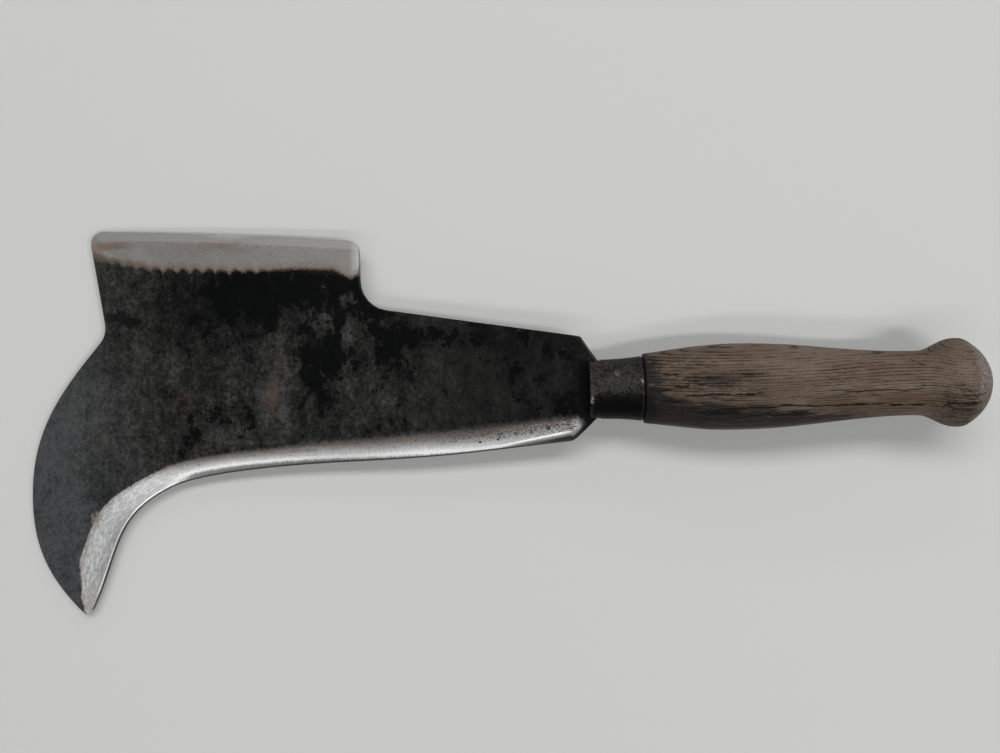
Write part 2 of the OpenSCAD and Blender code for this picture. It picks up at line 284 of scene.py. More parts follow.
# rust that old steel carries: fine flecks, gathered in clouds
rust = {
    "fleck": ((1, 1, 1), 2.0, 0.6), "cloud": ((0.07, 0.07, 0.07), 3.0, 0.6),
    "cloudShare": 0.6, "amountShare": 0.45, "edge": (1.02, 1.12),
    "colours": [(0.3, (0.045, 0.028, 0.019)), (0.7, (0.135, 0.082, 0.053))],
}
rustGroup = bpy.data.node_groups.new("rustFlecks", "ShaderNodeTree")
for way, sockets in (("INPUT", (("Coords", "Vector"), ("Fleck Size", "Float"), ("Amount", "Float"))),
                     ("OUTPUT", (("Mask", "Float"), ("Colour", "Color")))):
    for name, kind in sockets:
        rustGroup.interface.new_socket(name=name, in_out=way, socket_type="NodeSocket" + kind)
given = rustGroup.nodes.new("NodeGroupInput").outputs
put = rustGroup.nodes.new("NodeGroupOutput").inputs
perMm = calc(rustGroup, "DIVIDE", 1.0, given["Fleck Size"])
scaled = addNode(rustGroup, "VectorMath", {0: given["Coords"], "Scale": perMm}, operation="SCALE").outputs[0]
cloud = grainAt(rustGroup, scaled, *rust["cloud"])
level = calc(rustGroup, "ADD", grainAt(rustGroup, scaled, *rust["fleck"]), times(rustGroup, cloud, rust["cloudShare"]))
level = calc(rustGroup, "ADD", level, times(rustGroup, given["Amount"], rust["amountShare"]))
connect(rustGroup, put["Mask"], fade(rustGroup, level, *rust["edge"]))
connect(rustGroup, put["Colour"], colourSteps(rustGroup, cloud, rust["colours"]))


def rustOn(tree, coords, fleckSize, amount):
    inputs = {"Coords": coords, "Fleck Size": fleckSize, "Amount": amount}
    made = addNode(tree, "Group", inputs, node_tree=rustGroup).outputs
    return made["Mask"], made["Colour"]


# blade: the forging, with finer faces so that the ground bevels and the scale can follow it
blade = {
    "latticeStep": 2.0,          # mm between the cuts that make the faces finer
    "latticeX": (-253, -1), "latticeY": (-97, 75),
    "halfAtHeel": 3.0, "halfAtNose": 2.2, "length": 254.0,
    # how upright the faces stand on the cheeks and on the bevels beside them
    "cheekUpright": 0.99998, "bevelUpright": (0.74, 0.9995), "lowerBelow": -9.5,
    # the cutting edges: half thickness, how level, how far from the handle's axis
    "edgeHalf": 0.33, "edgeLevel": 0.2, "edgeOut": 15, "backAbove": 40,
    # where the scale ends under the back edge, x and y in mm
    "scaleLine": ((-224.5, 64.4), (-212, 61.4), (-198, 58.5), (-175, 57.1), (-152, 56.3), (-129, 57.1), (-113, 56.2),
                  (-107.4, 52.9), (-105.6, 51.9), (-103.7, 53.2), (-101, 53.6)),
    "scaleAbove": 35, "noBack": -30,
    "bluntDepth": 0.7, "bluntGap": -0.3, "bluntEnd": 1,
    "hookTurn": (-190, -41),     # where the edge turns into the hook
    "waves": ((0.028, 0.09), (0.11, 0.035)),  # hammer waves: per mm, height in mm
    "wavesFrom": -8, "wavesGrow": 12, "wavesApart": 7.3,
    "smoothAngle": 18,
}


def bevelLines(mesh):
    # the cutting edges and the lines where the bevels leave the cheeks, as flat segments
    points = pointsOf(mesh)
    facesAt = {}
    for face in mesh.polygons:
        for key in face.edge_keys:
            facesAt.setdefault(key, []).append(abs(face.normal.z))
    low, high = blade["bevelUpright"]
    lines = {"lower": [], "lowerEdge": [], "backEdge": []}
    for (a, b), upright in facesAt.items():
        if len(upright) != 2:
            continue
        p, q = points[a], points[b]
        thin = max(abs(p[2]), abs(q[2])) < blade["edgeHalf"] and abs(p[2] - q[2]) < blade["edgeLevel"]
        if max(upright) > blade["cheekUpright"] and low < min(upright) < high and p[1] < blade["lowerBelow"]:
            lines["lower"].append((p[:2], q[:2]))
        elif thin and p[0] < 0 and abs(p[1]) > blade["edgeOut"]:
            lines["backEdge" if p[1] > blade["backAbove"] else "lowerEdge"].append((p[:2], q[:2]))
    return {name: tuple(np.array(ends) for ends in zip(*found)) for name, found in lines.items()}


bladePiece = copyOfNode("blade", "bladeForging")
lines = bevelLines(bladePiece.data)
print("blade: edge and bevel segments", {name: len(found[0]) for name, found in lines.items()})
openMesh(bladePiece)
sliceAlong(0, *blade["latticeX"], blade["latticeStep"])
sliceAlong(1, *blade["latticeY"], blade["latticeStep"])
bpy.ops.mesh.select_all(action="SELECT")
bpy.ops.mesh.quads_convert_to_tris()
closeMesh()

mesh = bladePiece.data
points = pointsOf(mesh)
thinning = (blade["halfAtHeel"] - blade["halfAtNose"]) * np.minimum(points[:, 0], 0) / blade["length"]
half = blade["halfAtHeel"] + thinning
edgeGap, edgeFoot = gapToLine(points, *lines["lowerEdge"])
backGap = gapToLine(points, *lines["backEdge"])[0]
lowerFoot = gapToLine(points, *lines["lower"])[1]
lowerWidth = gapToLine(lowerFoot, *lines["lowerEdge"])[0]
lowerIn = lowerWidth - edgeGap  # mm inside the lower bevel, negative out on the cheek
scaleEnd = np.interp(points[:, 0], *zip(*blade["scaleLine"]))
backIn = np.where(points[:, 1] > blade["scaleAbove"], points[:, 1] - scaleEnd, blade["noBack"])
onCheek = (lowerIn < blade["bluntGap"]) * (backIn < blade["bluntGap"]) * (points[:, 0] < blade["bluntEnd"])
blunt = np.clip((half - np.abs(points[:, 2])) / blade["bluntDepth"], 0, 1) * onCheek
hookX, hookY = blade["hookTurn"]
aroundHook = np.hypot(edgeFoot[:, 0] - hookX, edgeFoot[:, 1] - hookY) - hookX
edgeRun = np.where(edgeFoot[:, 0] > hookX, -edgeFoot[:, 0], aroundHook)
for name, values in (("lowerIn", lowerIn), ("backIn", backIn), ("edgeGap", edgeGap), ("backGap", backGap),
                     ("blunt", blunt), ("edgeRun", edgeRun)):
    putAttribute(mesh, name, values)

# hammer waves on the cheeks, none at the cutting edges or inside the handle
raised = np.clip(np.abs(points[:, 2]) / half, 0, 1)
raised *= np.clip((blade["wavesFrom"] - points[:, 0]) / blade["wavesGrow"], 0, 1)
for p, share in zip(points, raised):
    if share > 0:
        side = 1 if p[2] > 0 else -1
        wave = sum(height * noise.noise(Vector((p[0] * often, p[1] * often, blade["wavesApart"] * side)))
                   for often, height in blade["waves"])
        p[2] += side * wave * share
putPoints(mesh, points)
smoothPiece(bladePiece, blade["smoothAngle"])
print("blade: faces", len(mesh.polygons))

bladeLook = {
    "gloss": 0.03, "metal": 0.95, "headMetal": 0.5, "bump": (0.6, 0.12),
    "apart": (1, 1, 30),  # keeps the grain of the two cheeks unlike
    "toothStep": 6.1,  # mm
    "marks": {  # marks on the upper side: x, y, z and reach in mm, strength
        "blackScale": [((-130, 47, 2.6), (46, 21, 6), 1.15), ((-167, 40, 2.6), (34, 30, 6), 0.7),
                       ((-118, 18, 2.6), (18, 21, 6), 1.3), ((-124, 1, 2.6), (16, 14, 6), 0.66),
                       ((-88, 19, 2.6), (17, 31, 6), 0.7), ((-53, 26, 2.8), (48, 9, 6), 0.8),
                       ((-11, 17, 2.9), (13, 9, 6), 0.5), ((-180, -21, 2.6), (22, 9, 6), 0.5),
                       ((-9, -7, 2.9), (15, 10, 6), 0.75), ((-160, -11, 2.6), (26, 16, 6), 0.38),
                       ((-100, 45, 2.7), (10, 14, 6), 0.45), ((-30, 9.7, 2.9), (6, 5, 6), 0.8),
                       ((-143, 17, 2.6), (7, 6, 6), 0.7)],
        "bareScale": [((-140, 2, 2.6), (13, 30, 6), 1.3), ((-107, 26, 2.6), (6, 32, 6), 0.85),
                      ((-119, 34, 2.6), (10, 9, 6), 1.5), ((-62, -1, 2.8), (74, 22, 6), 0.4),
                      ((-205, 42, 2.4), (36, 40, 6), 0.6), ((-238, -20, 2.3), (60, 90, 7), 1.1),
                      ((-161, -19, 2.6), (24, 10, 6), 0.9)],
        "shade": [((-174, 42, 2.6), (44, 27, 6), 0.34), ((-212, 36.4, 2.4), (8, 3.4, 6), 0.6),
                  ((-205.5, 33.8, 2.4), (8, 3.2, 6), 0.6), ((-221, -42, 2.4), (15, 24, 6), 0.3),
                  ((-215, 25, 2.4), (10, 22, 6), 0.25), ((-81, 6, 2.7), (12, 12, 6), 0.2)],
        "rust": [((-180, -2, 2.5), (8, 7, 6), 0.65), ((-141, 1, 2.6), (10, 19, 6), 0.75),
                 ((-218, -20, 2.4), (26, 16, 6), 0.3)],
        # the ground line wanders: further in at mid-blade, short of the hook's point
        "wander": [((-107, -22, 2.5), (40, 13, 8), 2.0), ((-235, -96, 2.0), (6, 7, 6), -6.0)],
        "tongue": [((-224.6, -54, 2.3), (4.6, 3.8, 6), 1.0)],  # rusty steel by the hook
        "heelPits": [((-18.6, -16.6, 2.2), (1.5, 1.2, 5), 1.0), ((-33, -19, 2.2), (0.9, 0.7, 5), 1.0),
                     ((-41, -21.5, 2), (0.8, 0.6, 5), 1.0), ((-26, -18.4, 2.2), (0.8, 0.9, 5), 0.9),
                     ((-49, -22.6, 2), (0.9, 0.6, 5), 0.9)],
        "lobe": [((-5.2, -15.2, 2), (5, 4.5, 6), 1.0)],  # bright end of the bevel at the heel
        "facetHighlight": [((-102.5, 61, 2.0), (4.2, 15, 8), 0.75), ((-161, 73, 1.0), (14, 2, 5), 0.35)],
        "backRust": [((-214, 69.3, 1.5), (14, 2.8, 6), 1.1), ((-223, 66, 1.5), (6, 7, 6), 0.7),
                     ((-165, 68, 1.5), (34, 7, 6), 0.6)],
    },
    "shoulderRim": ((-3.4, 23.0), (3.0, 13.4)), "shoulderWidth": 1.5,
    "heelCut": ((-7.5, -23.4), (2.8, -13.2)),  # the cut corner behind the heel
    "colours": {
        "ground": [(0.1, (0.0052, 0.0054, 0.0054)), (0.4, (0.0155, 0.0155, 0.0147)), (0.62, (0.0285, 0.028, 0.0265)),
                   (0.9, (0.056, 0.0545, 0.0515))],
        # the neck colour is painted shade where the blade goes into the ferrule; the nose colour is partly worn scale,
        # partly painted reflection
        "black": (0.0014, 0.0016, 0.0018), "nose": (0.068, 0.070, 0.073), "neck": (0.004, 0.0043, 0.0046),
        "head": [(0.35, (0.045, 0.043, 0.04)), (0.65, (0.17, 0.163, 0.155))],
        "rim": (0.052, 0.049, 0.046), "worn": (0.05, 0.046, 0.042), "shoulder": (0.13, 0.125, 0.12),
        # the lower bevel from the cheek to the edge; its rise to a bright streak near the edge and its fall at the
        # edge are painted reflection
        "lower": [(0.0, (0.05, 0.05, 0.05)), (0.25, (0.105, 0.101, 0.097)), (0.5, (0.21, 0.206, 0.202)),
                  (0.7, (0.38, 0.377, 0.373)), (0.8, (0.61, 0.61, 0.613)), (0.87, (0.66, 0.66, 0.663)),
                  (0.94, (0.37, 0.363, 0.355)), (1.0, (0.2, 0.192, 0.182))],
        # gleam is a painted highlight; the lip and heel rim colours are painted shade on the rolled heel
        "lobe": (0.4, 0.398, 0.395), "gleam": (0.8, 0.8, 0.805), "pit": (0.018, 0.017, 0.016),
        "paleFleck": (0.55, 0.55, 0.545), "darkFleck": (0.08, 0.078, 0.075), "lip": (0.17, 0.166, 0.16),
        # the edge colour is painted shade along the cutting edge
        "heelRimShade": (0.014, 0.0135, 0.013), "edge": (0.05, 0.048, 0.046), "glint": (0.8, 0.8, 0.8),
        "rust": (0.14, 0.088, 0.058), "tongue": (0.21, 0.172, 0.148),
        "back": (0.148, 0.142, 0.135), "backShade": (0.124, 0.118, 0.112), "honed": (0.16, 0.156, 0.151),
        "facetHighlight": (0.36, 0.36, 0.35), "backRim": (0.125, 0.086, 0.062),
    },
    "grains": {  # how often per mm along each axis, detail, roughness, twist
        "mottled": ((0.6, 0.5, 0.6), 4.0, 0.68), "streaky": ((0.2, 0.045, 0.1), 5.0, 0.62, 0.2),
        "cloudy": ((0.022, 0.022, 0.022), 3.0, 0.5), "ragged": ((0.13, 0.1, 0.1), 8.0, 0.72, 0.25),
        "patchy": ((0.17, 0.13, 0.1), 7.0, 0.72), "peened": ((0.5, 0.5, 0.5), 4.0, 0.65),
        "edgeMarks": ((1.6, 0.3, 0.3), 5.0, 0.72), "hookMarks": ((0.5, 1.3, 0.3), 5.0, 0.75, 0.4),
        "backMarks": ((1.7, 1.0, 0.3), 4.0, 0.7), "pits": ((0.8, 0.8, 0.3), 2.0, 0.6),
        "flecks": ((1.5, 1.5, 0.5), 3.0, 0.65), "uneven": ((0.21, 0.1, 0.1), 3.0, 0.6),
        "fine": ((2.4, 2.4, 1.0), 3.0, 0.6),
    },
    "spans": {  # x in mm, or y where the name ends in Y: where a look starts and is full, then its two strengths
        "mottle": (-95, -50, 1.7, 0.75), "patches": (-95, -50, 1.4, 0.7), "darkHeel": (-90, -25),
        "nose": (-195, -252), "noBlack": (-195, -232, 0.0, -0.9), "neck": (-5.2, -3.8), "neckY": (13.5, 10.5),
        "head": (100, 120), "hook": (-174, -200), "soft": (-195, -110, 0.5, 1.7),
        "brightBelly": (-40, -185, 0.0, 0.24), "heelStreakShift": (-75, -28, 0.0, -0.07), "pointY": (-84, -94, 0.0, 0.12),
        "heel": (-120, -35), "roll": (-39.0, -6.0, 1.3, 4.2), "rolled": (-48, -34), "gleam": (-6, -13, 0.0, 0.95),
        "beaten": (-50, -25, 0.0, 0.55), "rimGrows": (-22, -6, 0.0, 1.1), "heelRimShade": (-42, -14),
        "glintY": (-92, -84), "lowerRust": (-20, -6, 0.75, 0.15), "teeth": (-132, -160, 0.12, 1.05),
        "noseTeeth": (-222, -200, 0.45, 1.0), "shoulder": (-9, -4), "shoulderY": (11, 15),
    },
}


def bladeMaterial():
    material, tree, shader = newMaterial("forgedSteel")
    coords, x, y, z = placesOf(tree)
    sided = stretched(tree, coords, bladeLook["apart"])
    marks, colours, grains, spans = (bladeLook[kind] for kind in ("marks", "colours", "grains", "spans"))
    lowerIn, backIn, edgeGap, backGap, blunt, edgeRun = (
        readAttribute(tree, name) for name in ("lowerIn", "backIn", "edgeGap", "backGap", "blunt", "edgeRun"))
    mottled, streaky, cloudy, ragged, patchy, pitted, flecks, fine = (
        grainAt(tree, sided, *grains[name])
        for name in ("mottled", "streaky", "cloudy", "ragged", "patchy", "pits", "flecks", "fine"))

    # forge scale: bare grey ground under ragged black patches
    bare = spotsAt(tree, coords, marks["bareScale"])
    shade = spotsAt(tree, coords, marks["shade"])
    tone = sway(tree, 0.4, mottled, fade(tree, x, *spans["mottle"]))
    tone = sway(tree, tone, streaky, 0.65)
    tone = sway(tree, tone, patchy, fade(tree, x, *spans["patches"]))
    tone = blend(tree, bare, 0.26, tone)
    tone = blend(tree, fade(tree, x, *spans["darkHeel"]), -0.21, tone)
    ground = colourSteps(tree, calc(tree, "SUBTRACT", tone, shade), colours["ground"])
    # partly worn scale, partly painted reflection: the scale is drawn lighter and bluer toward the nose
    nose = times(tree, fade(tree, blend(tree, y, 0.2, x), *spans["nose"]), fade(tree, mottled, 0.32, 0.64, 0.5, 1.0),
                 fade(tree, blend(tree, shade, -0.9, patchy), 0.25, 0.6, 0.45, 1.0))
    ground = mixColour(tree, nose, ground, colours["nose"])
    black = calc(tree, "SUBTRACT", spotsAt(tree, coords, marks["blackScale"]), times(tree, bare, 0.4))
    for grain, amount in ((ragged, 4.2), (mottled, 2.1), (cloudy, 1.2)):
        black = sway(tree, black, grain, amount)
    black = calc(tree, "ADD", black, fade(tree, x, *spans["noBlack"]))
    headed = fade(tree, x, *spans["head"])  # the hammered end of the tang
    # painted shade: the neck, where the blade goes into the ferrule, is drawn near black
    neck = times(tree, fade(tree, x, *spans["neck"]), fade(tree, y, *spans["neckY"]))
    neck = calc(tree, "SUBTRACT", neck, headed)
    black = calc(tree, "SUBTRACT", black, times(tree, headed, 3.0))
    black = calc(tree, "MAXIMUM", times(tree, fade(tree, black, 0.28, 0.5), 0.95), neck)
    peened = colourSteps(tree, grainAt(tree, coords, *grains["peened"]), colours["head"])
    rustAt = spotsAt(tree, coords, marks["rust"])
    rusty, rustColour = rustOn(tree, sided, 0.5, rustAt)
    rusty = times(tree, rusty, fade(tree, rustAt, 0.02, 0.25, 0.0, 0.5))
    rim = times(tree, lineAt(tree, (x, y, z), bladeLook["shoulderRim"], bladeLook["shoulderWidth"]), 0.7)
    scale = layers(tree, ground, (black, colours["black"]), (neck, colours["neck"]), (headed, peened),
                   (rusty, rustColour), (rim, colours["rim"]))

    # grinding marks run across each bevel
    acrossLower, acrossBack = joined(tree, edgeRun, edgeGap, z), joined(tree, x, backGap, z)
    hook = fade(tree, x, *spans["hook"])
    brushed = mixValue(tree, hook, grainAt(tree, acrossLower, *grains["edgeMarks"]),
                       grainAt(tree, acrossLower, *grains["hookMarks"]))
    brushedBack = grainAt(tree, acrossBack, *grains["backMarks"])

    # lower bevel: it comes out of the scale softly, carries a painted highlight streak near the edge, and is pitted at
    # the heel
    soft = fade(tree, x, *spans["soft"])
    lowerIn = calc(tree, "ADD", lowerIn, spotsAt(tree, coords, marks["wander"]))
    lowerLine = blend(tree, times(tree, calc(tree, "SUBTRACT", mottled, 0.5), soft), 3.0, lowerIn)
    lowerMask = fade(tree, lowerLine, times(tree, soft, -0.9), soft)
    across = calc(tree, "DIVIDE", lowerIn, calc(tree, "ADD", calc(tree, "ADD", lowerIn, edgeGap), 0.01))
    # painted reflection: the streak is moved along the blade and made brighter at the belly, and the hook is drawn
    # darker near its edge and point
    for change in ("brightBelly", "heelStreakShift"):
        across = calc(tree, "ADD", across, fade(tree, x, *spans[change]))
    across = mixValue(tree, times(tree, hook, 0.9), across, 0.78)
    for hookDimming in (fade(tree, edgeGap, 8.0, 1.0, 0.0, 0.15), fade(tree, y, *spans["pointY"])):
        across = calc(tree, "SUBTRACT", across, times(tree, hook, hookDimming))
    across = sway(tree, across, brushed, mixValue(tree, hook, 0.36, 0.62))
    pits = fade(tree, blend(tree, fade(tree, x, *spans["heel"]), 0.1, pitted), 0.67, 0.7)
    pits = times(tree, pits, band(tree, lowerIn, (8.0, 4.0), (0.5, 1.5)))
    pits = calc(tree, "MAXIMUM", pits, fade(tree, spotsAt(tree, coords, marks["heelPits"]), 0.05, 0.4))

    # at the heel the bevel rolls over: a painted highlight line leaves the edge, with painted shade below it, a grey
    # lip and a dark rim
    roll = calc(tree, "SUBTRACT", edgeGap, slope(tree, x, *spans["roll"]))
    rolled = fade(tree, x, *spans["rolled"])
    gleam = times(tree, band(tree, roll, (-0.15, 0.35), (1.2, 0.4)), rolled, fade(tree, x, *spans["gleam"]))
    lip = times(tree, fade(tree, roll, 0.1, -0.8), rolled, 0.85)
    lobe = fade(tree, blend(tree, mottled, 0.6, spotsAt(tree, coords, marks["lobe"])), 0.5, 1.0, 0.0, 0.6)
    beaten = times(tree, fade(tree, x, *spans["beaten"]), fade(tree, lowerIn, 0.5, 2.5))
    (x0, y0), (x1, y1) = bladeLook["heelCut"]
    back, up = x1 - x0, y1 - y0
    cutLong = math.hypot(back, up)
    cutGap = blend(tree, x, -up / cutLong, times(tree, y, back / cutLong))
    cutGap = calc(tree, "SUBTRACT", cutGap, (y0 * back - x0 * up) / cutLong)
    heelRimShade = calc(tree, "SUBTRACT", edgeGap, fade(tree, x, *spans["rimGrows"]))
    heelRimShade = times(tree, fade(tree, heelRimShade, 2.5, 1.0), fade(tree, x, *spans["heelRimShade"]))
    heelRimShade = calc(tree, "MAXIMUM", heelRimShade, fade(tree, cutGap, 2.7, 1.2))
    # painted shade: a dark line along the cutting edge, where the bevel turns under
    edge = fade(tree, edgeGap, mixValue(tree, hook, 1.15, 0.8), 0.4)
    glint = times(tree, band(tree, edgeGap, (0.7, 0.95), (1.4, 1.05)), hook, fade(tree, y, *spans["glintY"]))
    steel = layers(tree, colourSteps(tree, across, colours["lower"]), (lobe, colours["lobe"]),
                   (gleam, colours["gleam"]), (times(tree, pits, 0.93), colours["pit"]),
                   (times(tree, fade(tree, flecks, 0.53, 0.64), beaten), colours["paleFleck"]),
                   (times(tree, fade(tree, flecks, 0.46, 0.36), beaten), colours["darkFleck"]),
                   (lip, colours["lip"]), (times(tree, heelRimShade, 0.95), colours["heelRimShade"]),
                   (edge, colours["edge"]), (glint, colours["glint"]))

    # rust where the lower bevel leaves the scale
    fromScale = calc(tree, "DIVIDE", calc(tree, "SUBTRACT", lowerLine, 0.3), soft)
    lowerRim = fade(tree, calc(tree, "SUBTRACT", lowerLine, soft), -1.6, 0.0)
    lowerRim = times(tree, lowerRim, fade(tree, fromScale, 3.0, 1.2))
    lowerRust = times(tree, lowerRim, rustOn(tree, sided, 0.4, 0.5)[0], fade(tree, x, *spans["lowerRust"]))
    tongue = raggedMark(tree, spotsAt(tree, coords, marks["tongue"]), mottled, 2.4, (0.3, 0.6), (0.02, 0.2))
    tongue = times(tree, tongue, fade(tree, mottled, 0.35, 0.65, 0.4, 0.9))

    # back bevel: greyer and rust-specked, with teeth of scale along its inner line
    beat = times(tree, x, math.pi / bladeLook["toothStep"])
    scallop = calc(tree, "ABSOLUTE", calc(tree, "SINE", blend(tree, ragged, 2.2, beat)))
    teeth = times(tree, blend(tree, scallop, -2.0, 1.25), 0.9)  # rounded tips of scale with sharp gaps
    teeth = sway(tree, teeth, grainAt(tree, coords, *grains["uneven"]), 2.6)
    toothHeight = times(tree, fade(tree, x, *spans["teeth"]), fade(tree, x, *spans["noseTeeth"]))
    backLine = sway(tree, blend(tree, teeth, toothHeight, backIn), mottled, 2.6)
    backMask = fade(tree, backLine, -1.2, 1.5)
    backTone = mixColour(tree, fade(tree, brushedBack, 0.35, 0.65), colours["back"], colours["backShade"])
    honed = times(tree, fade(tree, backGap, 4.5, 3.7), fade(tree, brushedBack, 0.3, 0.6, 0.4, 1.0))
    # a ground facet at the corner of the back edge, painted bright as a highlight
    facetHighlight = calc(tree, "MULTIPLY", spotsAt(tree, coords, marks["facetHighlight"]), 0.8, clamp=True)
    backAmount = calc(tree, "ADD", spotsAt(tree, coords, marks["backRust"]), fade(tree, backLine, 6.0, 0.8, 0.12, 0.5))
    backRust, backRustColour = rustOn(tree, sided, 0.4, backAmount)
    backTone = layers(tree, backTone, (honed, colours["honed"]), (facetHighlight, colours["facetHighlight"]),
                      (times(tree, backRust, 0.6), backRustColour))
    backRim = times(tree, band(tree, backLine, (-1.2, 0.5), (3.6, 0.8)), fade(tree, mottled, 0.35, 0.65, 0.15, 0.6))

    worn = times(tree, blunt, fade(tree, mottled, 0.4, 0.6, 0.2, 0.8), 0.55)
    shoulder = times(tree, fade(tree, x, *spans["shoulder"]), fade(tree, y, *spans["shoulderY"]))
    shoulder = times(tree, blunt, shoulder, 0.7)
    colour = layers(tree, scale, (worn, colours["worn"]), (shoulder, colours["shoulder"]), (lowerMask, steel),
                    (lowerRust, colours["rust"]), (tongue, colours["tongue"]), (backMask, backTone),
                    (backRim, colours["backRim"]))

    bright = calc(tree, "MAXIMUM", lowerMask, backMask)
    clean = times(tree, bright, calc(tree, "SUBTRACT", 1.0, calc(tree, "MAXIMUM", pits, lowerRust)))
    groundRough = mixValue(tree, backMask, blend(tree, brushed, 0.25, 0.22), blend(tree, brushedBack, 0.2, 0.38))
    putLook(tree, shader, {
        "Base Color": colour, "Specular IOR Level": bladeLook["gloss"],
        "Metallic": blend(tree, headed, bladeLook["headMetal"], times(tree, clean, bladeLook["metal"])),
        "Roughness": mixValue(tree, clean, blend(tree, mottled, 0.3, 0.42), groundRough)})
    rough = calc(tree, "ADD", times(tree, fine, 0.35), times(tree, mottled, 0.65))
    rough = times(tree, blend(tree, black, 0.35, rough), calc(tree, "SUBTRACT", 1.0, bright))
    scratches = times(tree, mixValue(tree, backMask, brushed, brushedBack), times(tree, bright, 0.24))
    height = calc(tree, "ADD", calc(tree, "ADD", rough, scratches), times(tree, pits, -0.8))
    putBump(tree, shader, height, *bladeLook["bump"])
    return material


finishPiece(bladePiece, "blade", bladeMaterial())
print("blade done")


# ferrule: the steel ring, a little beaten
ferrule = {
    "step": 1.4, "cuts": (1, 22.5), "outside": 11.8, "smoothAngle": 32,  # mm, and degrees
    "dents": ((0.12, 0.07), (0.4, 0.025)),  # per mm, height in mm
    "cloudy": ((0.2, 0.2, 0.2), 6.0, 0.7), "mottled": ((0.9, 0.9, 0.9), 3.0, 0.6),
    # marks: x, y, z and reach in mm, strength
    # painted light and shade: lighter on top, near black on the lower side, and lighter in a strip at the bottom where
    # the floor throws light back
    "paintedLightAndShade": [((12, 5, 13), (20, 13, 14), 0.3), ((12, -8.5, 11), (30, 8.5, 12), -0.85), ((1, -1, 14), (3, 3, 6), 0.5),
              ((12, -14.5, 3), (26, 4, 8), 0.36)],
    "glints": [((0.9, -4.8, 11.5), (1.4, 3.0, 5), 1.1), ((22.6, 3.4, 12.5), (1.2, 2.0, 5), 1.0)],
    "frontRim": (1.6, 0.5), "rearRim": (22.4, 23.2),
    "skin": [(0.25, (0.0014, 0.0015, 0.0016)), (0.5, (0.0085, 0.0083, 0.0078)), (0.9, (0.04, 0.0375, 0.0345))],
    "rim": (0.1, 0.09, 0.08), "glint": (0.24, 0.225, 0.205),
    "gloss": 0.05, "metal": 0.6, "bump": (0.5, 0.1),
}
ferrulePiece = copyOfNode("ferrule", "ferruleRing")
openMesh(ferrulePiece)
sliceAlong(0, *ferrule["cuts"], ferrule["step"])
closeMesh()
points = pointsOf(ferrulePiece.data)
for p in points:
    around = math.hypot(p[1], p[2])
    if around > ferrule["outside"]:
        dent = sum(height * noise.noise(Vector(p) * often) for often, height in ferrule["dents"])
        p[1:] *= 1 + dent / around
putPoints(ferrulePiece.data, points)
smoothPiece(ferrulePiece, ferrule["smoothAngle"])


def ferruleMaterial():
    material, tree, shader = newMaterial("ferruleSteel")
    coords, x = placesOf(tree)[:2]
    cloudy, mottled = (grainAt(tree, coords, *ferrule[name]) for name in ("cloudy", "mottled"))
    tone = calc(tree, "ADD", times(tree, cloudy, 0.75), blend(tree, mottled, 1.8, -0.73))
    # painted light and shade: the ferrule is drawn lighter on top and near black below
    tone = calc(tree, "ADD", tone, spotsAt(tree, coords, ferrule["paintedLightAndShade"]))
    # the rims: partly worn bare steel, partly painted highlight
    rimWearAndHighlight = calc(tree, "MAXIMUM", fade(tree, x, *ferrule["frontRim"]), fade(tree, x, *ferrule["rearRim"]))
    rimWearAndHighlight = times(tree, rimWearAndHighlight, fade(tree, mottled, 0.35, 0.6))
    glint = fade(tree, spotsAt(tree, coords, ferrule["glints"]), 0.1, 0.8)
    glint = times(tree, glint, fade(tree, mottled, 0.4, 0.6))
    rusty, rustColour = rustOn(tree, coords, 0.6, 0.36)
    rusty = times(tree, rusty, fade(tree, tone, 0.42, 0.6, 0.0, 0.42))
    skin = layers(tree, colourSteps(tree, tone, ferrule["skin"]), (times(tree, rimWearAndHighlight, 0.4), ferrule["rim"]),
                  (glint, ferrule["glint"]), (rusty, rustColour))
    putLook(tree, shader, {"Base Color": skin, "Specular IOR Level": ferrule["gloss"],
                           "Metallic": times(tree, rimWearAndHighlight, ferrule["metal"]),
                           "Roughness": blend(tree, mottled, 0.3, 0.3)})
    putBump(tree, shader, mottled, *ferrule["bump"])
    return material


finishPiece(ferrulePiece, "ferrule", ferruleMaterial())
print("ferrule done")


# handle: turned ash, spun from its profile, then roughened by age
handle = {
    "around": 264, "weld": 0.004, "smoothAngle": 40,
    "spigot": ((0.2, 11.2), (24.1, 12.4)),
    "gripEdge": (24.1, 15.5), "edgeRound": 0.6, "edgeProud": 0.05, "gripStart": 2, "gripAngle": 7,
    "swell": (65, 19.2), "neck": (143.4, 14.2), "knob": (160.6, 19.6), "domeEdge": (163.4, 19.1), "end": 175.2,
    "knobAngle": -20, "domeAngle": -30, "endAngle": -90,
    "recess": 6.2, "recessFloor": 172.3, "recessLip": 0.1,
    "reach": 0.38,  # length of a curve's arms, as a share of its chord
    "steps": (34, 64, 18, 5, 30),
    "aged": (24.5, 7),             # only behind this x and outside this radius
    "fibres": (0.03, 0.75, 0.14),  # per mm along and across the grain, depth in mm
    "fibreLevel": 0.1,
    "turning": (0.05, 0.12),       # slow unevenness: per mm, height in mm
    "turningPlace": 40, "worn": 0.03,
}


def bezierLine(start, startAngle, end, endAngle, steps):
    p, q = Vector(start), Vector(end)
    arm = handle["reach"] * (q - p).length
    a = p + arm * Vector((math.cos(math.radians(startAngle)), math.sin(math.radians(startAngle))))
    b = q - arm * Vector((math.cos(math.radians(endAngle)), math.sin(math.radians(endAngle))))
    line = []
    for i in range(1, steps + 1):
        t = i / steps
        s = 1 - t
        line.append(tuple(s ** 3 * p + 3 * s * s * t * a + 3 * s * t * t * b + t ** 3 * q))
    return line


